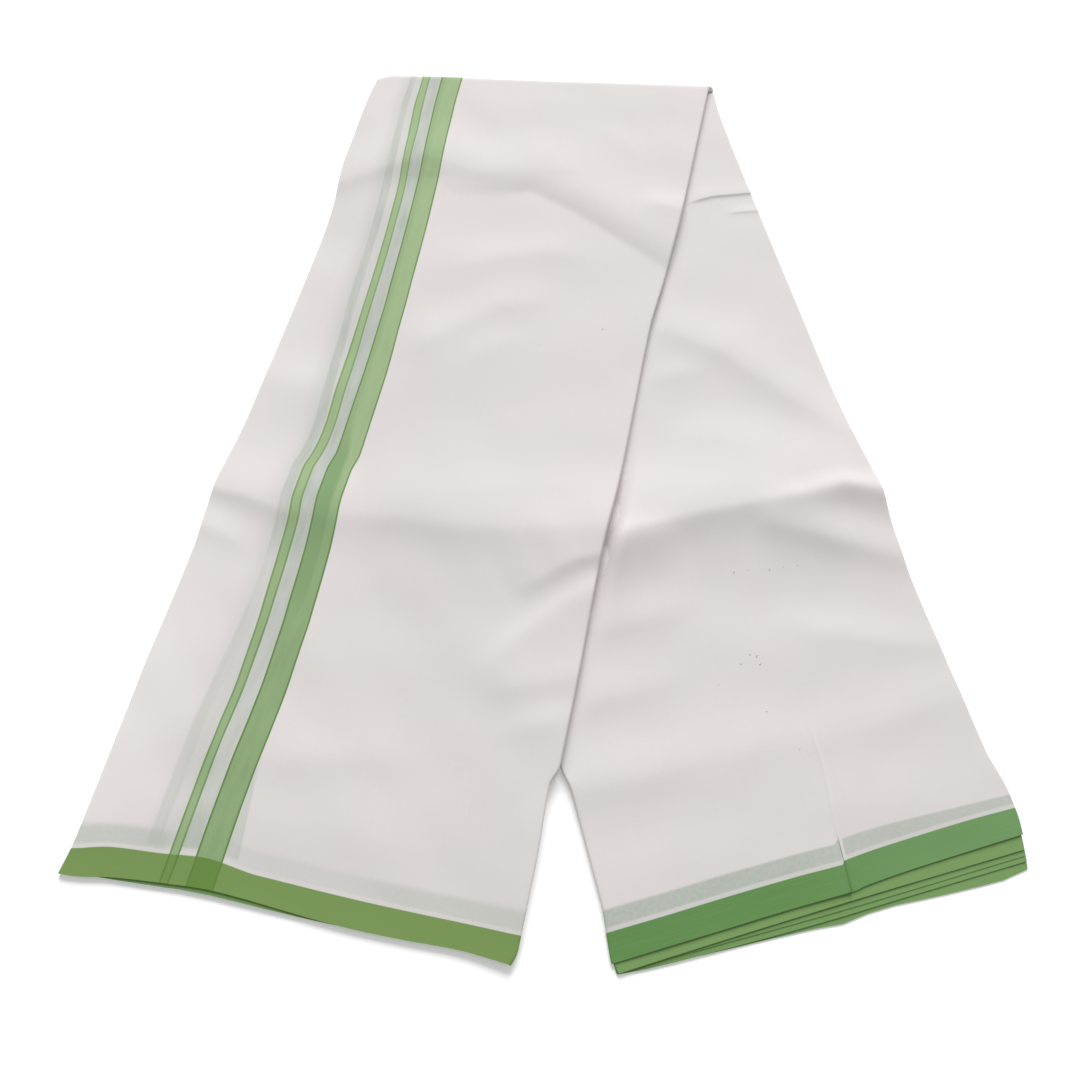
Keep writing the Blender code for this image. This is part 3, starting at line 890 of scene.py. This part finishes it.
def under_stripes(finish, u, v, streaks):
    """Where the next ply's stripes show through, at a distance that changes along the leg."""
    ease, band = finish.ease, finish.band
    aside = THIN_SPAN[0] - u
    near = ease(v, 0.200, 0.350)
    away = ease(v, 0.430, 0.540)
    # The thin stripe below lies 10 mm to the left, then 4 mm, then 10 mm again.
    core = (aside - (0.0098 - 0.0062 * near + 0.0066 * away)).size()
    core = 1 - ease(core, 0.0024, 0.0052)
    halo = ease(aside, -0.0004, 0.0) * (1 - ease(aside + 0.008 * near, 0.0100, 0.0280))
    strength = 0.62 + 0.08 * band(v, 0.270, 0.390, 0.030) - 0.22 * ease(v, 0.400, 0.450)
    # Between this ply's stripes it looks grey all along, and a line leaves the wide one.
    gap = band(u, THIN_SPAN[1], WIDE_SPAN[0], 0.0004) * (
        0.76 - 0.24 * ease(v, 0.45, 0.52) + 0.25 * ease(v, 0.580, 0.600))
    drift = 0.0070 * ease(v, 0.550, 0.625)
    line = band(u, WIDE_SPAN[1], drift + (WIDE_SPAN[1] + 0.0014), 0.0009)
    line = line * ease(v, 0.550, 0.575)
    fade = 1 - ease(v, BORDER_START - 0.0055, BORDER_START - 0.0030)
    seen = (strength * core).most(0.33 * halo).most(gap).most(0.42 * line)
    return seen * fade * (0.50 + streaks)


def under_border(finish, u, v, mottle, striped):
    """Where the next ply's border shows through, just above this one's."""
    ease, band = finish.ease, finish.band
    if striped:
        top = ease(v, BORDER_START - 0.0150, BORDER_START - 0.0100)
        share = 0.52 - 0.30 * ease(u, 0.046, 0.052) + 0.20 * ease(u, 0.13, 0.20)
    else:
        narrower = 0.0035 * ease(u, 0.150, 0.250)
        top = ease(v - narrower, BORDER_START - 0.0125, BORDER_START - 0.0107)
        beside_tuck = band(past_tuck(u, v), 0.0004, 0.0022, 0.0004)
        share = (0.80 - 0.14 * ease(u, 0.120, 0.160)) * (1 - beside_tuck)
    bottom = 1 - 0.60 * ease(v, BORDER_START - 0.0031, BORDER_START - 0.0019)
    return top * bottom * share * (0.70 + 0.6 * mottle)


def past_tuck(u, v):
    """How far a place lies to the right of the rear leg's tuck, near the hem."""
    (high, high_across), (low, low_across) = TUCK[2:]
    lean = (high_across - low_across) / (low - high)
    return u - high_across + lean * (v - high)


def cotton(name, striped):
    """White plain weave with a green selvedge, and the green stripes if asked."""
    finish = Finish(name)
    ease, band, mix, noise = finish.ease, finish.band, finish.mix, finish.noise
    woven = finish.node("ShaderNodeUVMap", {"uv_map": "woven"}, {})
    u = finish.node("ShaderNodeSeparateXYZ", {}, {"Vector": woven}, out="X")
    v = finish.node("ShaderNodeSeparateXYZ", {}, {"Vector": woven}, out="Y")
    tone = finish.node("ShaderNodeAttribute", {"attribute_name": "tone"}, {}, out="Fac")
    clouds = noise(u, v, 9.0, 2.0)
    streaks = noise(u * 260.0, v * 40.0, 1.0, 3.0)
    mottle = noise(u * 420.0, v * 420.0, 1.0, 3.0)
    warp_slubs = noise(u * 900.0, v * 22.0, 1.0, 2.0)
    weft_slubs = noise(u * 22.0, v * 900.0, 1.0, 2.0)
    slubs = (warp_slubs + weft_slubs) * 0.5
    white = mix(ease(clouds, 0.36, 0.64), WARM_WHITE, COOL_WHITE)
    white = mix(0.20 * ease(slubs, 0.42, 0.70), white, THREAD_GREY)

    if striped:     # the front leg is whiter towards its left edge
        # painted light: the glow of light along the left edge is painted into the cloth's white
        left_glow = (1 - ease(u, 0.004, 0.050)) * (
            0.45 * ease(v, 0.120, 0.180) + 0.55 * ease(v, 0.400, 0.500))
        white = mix(0.8 * left_glow, white, LEFT_GLOW_WHITE)

    border = ease(v, BORDER_START - 0.0003, BORDER_START + 0.0003)
    color = mix(under_border(finish, u, v, mottle, striped), white, SEEN_THROUGH)
    if striped:
        green = FRONT_GREEN
    else:
        green = mix(ease(u, 0.10, 0.20), REAR_GREEN, REAR_GREEN_RIGHT)
    # the lower plies' green differs a little, and is also painted lighter against the shade cast
    # by the plies above
    green = mix(tone, green, UNDER_GREEN_LIGHTENED)
    green = mix(0.18 * ease(weft_slubs, 0.40, 0.68), green, WEFT_GREEN)
    if striped:
        color = mix(under_stripes(finish, u, v, streaks), color, SEEN_THROUGH)
        thin = band(u, *THIN_SPAN, 0.0002)
        wide = band(u, *WIDE_SPAN, 0.0002)
        inner_thin = band(u, THIN_SPAN[0] + THIN_RIM, THIN_SPAN[1] - THIN_RIM, 0.0003)
        inner_wide = band(u, WIDE_SPAN[0] + WIDE_RIM, WIDE_SPAN[1] - WIDE_RIM, 0.0003)
        stripes = thin.most(wide)
        edges = stripes - inner_thin.most(inner_wide)
        # The left part of the wide stripe lies over another stripe and looks darker.
        overlap = 0.0045 + 0.0065 * band(v, 0.345, 0.470, 0.025)
        doubled = 1 - ease(u - WIDE_SPAN[0] - overlap, -0.0020, 0.0020)
        doubled = wide * doubled * (0.35 + 0.60 * band(v, 0.340, 0.470, 0.025))
        # Below the middle crease both stripes are darker, the thin one less.
        shade = 0.14 * ease(streaks, 0.35, 0.65) + ease(v, 0.345, 0.425) * (0.62 - 0.32 * thin)
        stripe = mix(shade.most(doubled), STRIPE_GREEN, STRIPE_SHADE)
        strength = 0.70 + 0.30 * streaks + 0.15 * ease(v, 0.35, 0.45) - 0.35 * thin
        stripe = mix(edges * strength, stripe, STRIPE_EDGE)
        color = mix(stripes, color, stripe)
        green = mix(0.80 * inner_wide + 0.30 * inner_thin, green, CROSSING_GREEN)
        green = mix(0.8 * edges, green, CROSSING_EDGE)
    color = mix(border, color, green)
    if not striped:     # the shadow beside the rear leg's tuck
        shadow = band(past_tuck(u, v), -0.0002, 0.0005, 0.0003)
        shadow = shadow * ease(v, 0.596, 0.614) * (1 - tone.math("CEIL", tone))
        color = mix(0.65 * shadow, color, TUCK_SHADE)

    threads = (u * (2 * pi / THREAD_PITCH)).sine() * (v * (2 * pi / THREAD_PITCH)).sine()
    relief = 0.5 * threads + 1.2 * slubs
    bump = finish.node("ShaderNodeBump", {}, {"Strength": 0.35, "Distance": WEAVE_DEPTH,
                                              "Height": relief})
    finish.dress({"Base Color": color, "Roughness": 0.80 + 0.12 * slubs, "Normal": bump,
                  "Specular IOR Level": 0.25, "Sheen Weight": 0.08, "Sheen Roughness": 0.5})
    return finish.material


striped_cotton = cotton("striped_cotton", True)
plain_cotton = cotton("plain_cotton", False)
for piece in (front_sheet, front_pack, rear_sheet, rear_second, rear_pack):
    piece.data.materials.clear()
    piece.data.materials.append(striped_cotton if piece == front_sheet else plain_cotton)
print("nodes in the striped cotton:", len(striped_cotton.node_tree.nodes))

# %% [markdown]
# ## Lint
# A few specks of lint cling to the cotton in the photo. Each is a short bent fibre, laid at
# its place with a turn and a size of its own, so a tree of geometry nodes strews them.

# %% Places of the specks: leg, then across and along in millimetres
LINT = [(FRONT_OUTER, 221, 220), (FRONT_OUTER, 181, 242)]
LINT += [(REAR_OUTER, across, along) for across, along in (
    (141, 433), (150, 434), (163, 437), (172, 438), (181, 439), (133, 487), (137, 489),
    (137, 494), (126, 491), (109, 500), (131, 523), (142, 549))]
FIBRE_LENGTH = 0.0011
FIBRE_THICKNESS = 0.13          # a share of its length


def lint_tree():
    """A bent fibre on every point, turned and sized at random."""
    tree = bpy.data.node_groups.new("lint", "GeometryNodeTree")
    for label, kind in {"Places": "Geometry", "Length": "Float", "Thickness": "Float",
                        "Seed": "Int", "Fibre": "Material"}.items():
        tree.interface.new_socket(label, in_out="INPUT", socket_type="NodeSocket" + kind)
    tree.interface.new_socket("Fibres", in_out="OUTPUT", socket_type="NodeSocketGeometry")
    given = tree.nodes.new("NodeGroupInput").outputs
    bend = add_node(tree, "GeometryNodeCurveQuadraticBezier", {}, {
        "Resolution": 6, "Start": (-0.5, 0.0, 0.0), "Middle": (0.1, 0.5, 0.1),
        "End": (0.5, 0.0, 0.0)})
    ring = add_node(tree, "GeometryNodeCurvePrimitiveCircle", {}, {
        "Resolution": 6, "Radius": given["Thickness"]})
    fibre = add_node(tree, "GeometryNodeCurveToMesh", {}, {
        "Curve": bend.outputs[0], "Profile Curve": ring.outputs[0], "Fill Caps": True})
    turn = add_node(tree, "FunctionNodeRandomValue", {"data_type": "FLOAT_VECTOR"}, {
        0: (0.0, 0.0, 0.0), 1: (0.0, 0.0, 6.28), "Seed": given["Seed"]})
    share = add_node(tree, "FunctionNodeRandomValue", {"data_type": "FLOAT"}, {
        2: 0.5, 3: 1.4, "Seed": given["Seed"]})
    size = add_node(tree, "ShaderNodeMath", {"operation": "MULTIPLY"}, {
        0: share.outputs[1], 1: given["Length"]})
    strewn = add_node(tree, "GeometryNodeInstanceOnPoints", {}, {
        "Points": given["Places"], "Instance": fibre.outputs[0],
        "Rotation": turn.outputs[0], "Scale": size.outputs[0]})
    real = add_node(tree, "GeometryNodeRealizeInstances", {}, {"Geometry": strewn.outputs[0]})
    dressed = add_node(tree, "GeometryNodeSetMaterial", {}, {
        "Geometry": real.outputs[0], "Material": given["Fibre"]})
    result = tree.nodes.new("NodeGroupOutput")
    tree.links.new(dressed.outputs[0], result.inputs["Fibres"])
    return tree


def strew_lint():
    """The specks as one plain mesh, each lying on its leg's top ply."""
    spots = []
    for layout, across, along in LINT:
        x, y = to_plan(layout.leg, across / 1000, along / 1000)
        x, y, z = (float(value) for value in (x, y, seat(x, y, PILE_TOP, layout)))
        spots.append((x + MEETING[0], y + MEETING[1], z + FIBRE_LENGTH * FIBRE_THICKNESS * 0.6))
    places = bpy.data.meshes.new("lint_places")
    places.from_pydata(spots, [], [])
    draft = put("lint_draft", places)
    finish = Finish("lint_fibre")
    finish.dress({"Base Color": FIBRE_GREY, "Roughness": 0.9})
    strewer = draft.modifiers.new("Lint", "NODES")
    strewer.node_group = lint_tree()
    wanted = {"Length": FIBRE_LENGTH, "Thickness": FIBRE_THICKNESS, "Seed": 4,
              "Fibre": finish.material}
    for socket in strewer.node_group.interface.items_tree:
        if socket.name in wanted:
            strewer[socket.identifier] = wanted[socket.name]
    return put("lint", bake(draft))


lint = strew_lint()
print("lint:", len(LINT), "fibres,", len(lint.data.polygons), "faces")

# %% [markdown]
# ## The studio
# A pale floor lit faintly from below like a light table, one large soft light far behind
# the cross fold, and an even white surround. The camera looks down at the cloth from the
# side of its hems.

# %% Floor, light and camera
bpy.ops.mesh.primitive_plane_add(size=14, location=(0, 0, -0.0002))
floor = bpy.context.object
floor.name = "floor"
paper = Finish("studio_paper")
paper.dress({"Base Color": (0.95, 0.95, 0.95, 1.0), "Roughness": 0.9,
             "Emission Color": (1.0, 1.0, 1.0, 1.0), "Emission Strength": 0.18})
floor.data.materials.append(paper.material)

key = bpy.data.lights.new("key", "AREA")
key.energy = 2000
key.size = 8.0
key_light = put("key", key)
key_light.location = (0.70, 10.20, 6.70)
key_light.rotation_euler = (-Vector(key_light.location)).to_track_quat("-Z", "Y").to_euler()

world = bpy.data.worlds.new("surround")
world.use_nodes = True
sky = world.node_tree.nodes["Background"].inputs
sky["Color"].default_value = (1.0, 1.0, 1.0, 1.0)
sky["Strength"].default_value = 0.46
scene.world = world
scene.view_settings.view_transform = "Standard"

lens = bpy.data.cameras.new("camera")
lens.lens = 36.667
lens.sensor_width = 36.0
camera = put("camera", lens)
camera.location = (-0.0033, -0.3598, 0.6410)
camera.rotation_euler = (radians(24.44), 0.0, radians(-1.14))
scene.camera = camera

# %% [markdown]
# ## The pieces on their body
# Each piece rides on the one body and stands for its solid.

PLY_FLAT = (STRIP_WIDTH, LEG_LENGTH)
for piece, node, plies, under in (
        (front_sheet, "front_face", 4, ["front_hidden_layers"]),
        (front_pack, "front_layers", 12, ["rear_sheet"]),
        (rear_sheet, "rear_face", 4, ["rear_second_sheet"]),
        (rear_second, "rear_second_layer", 4, ["rear_hidden_layers"]),
        (rear_pack, "rear_layers", 8, [])):
    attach(piece, "root")
    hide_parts(node)
    plies * PLY_FLAT[0]

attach(lint, "root")
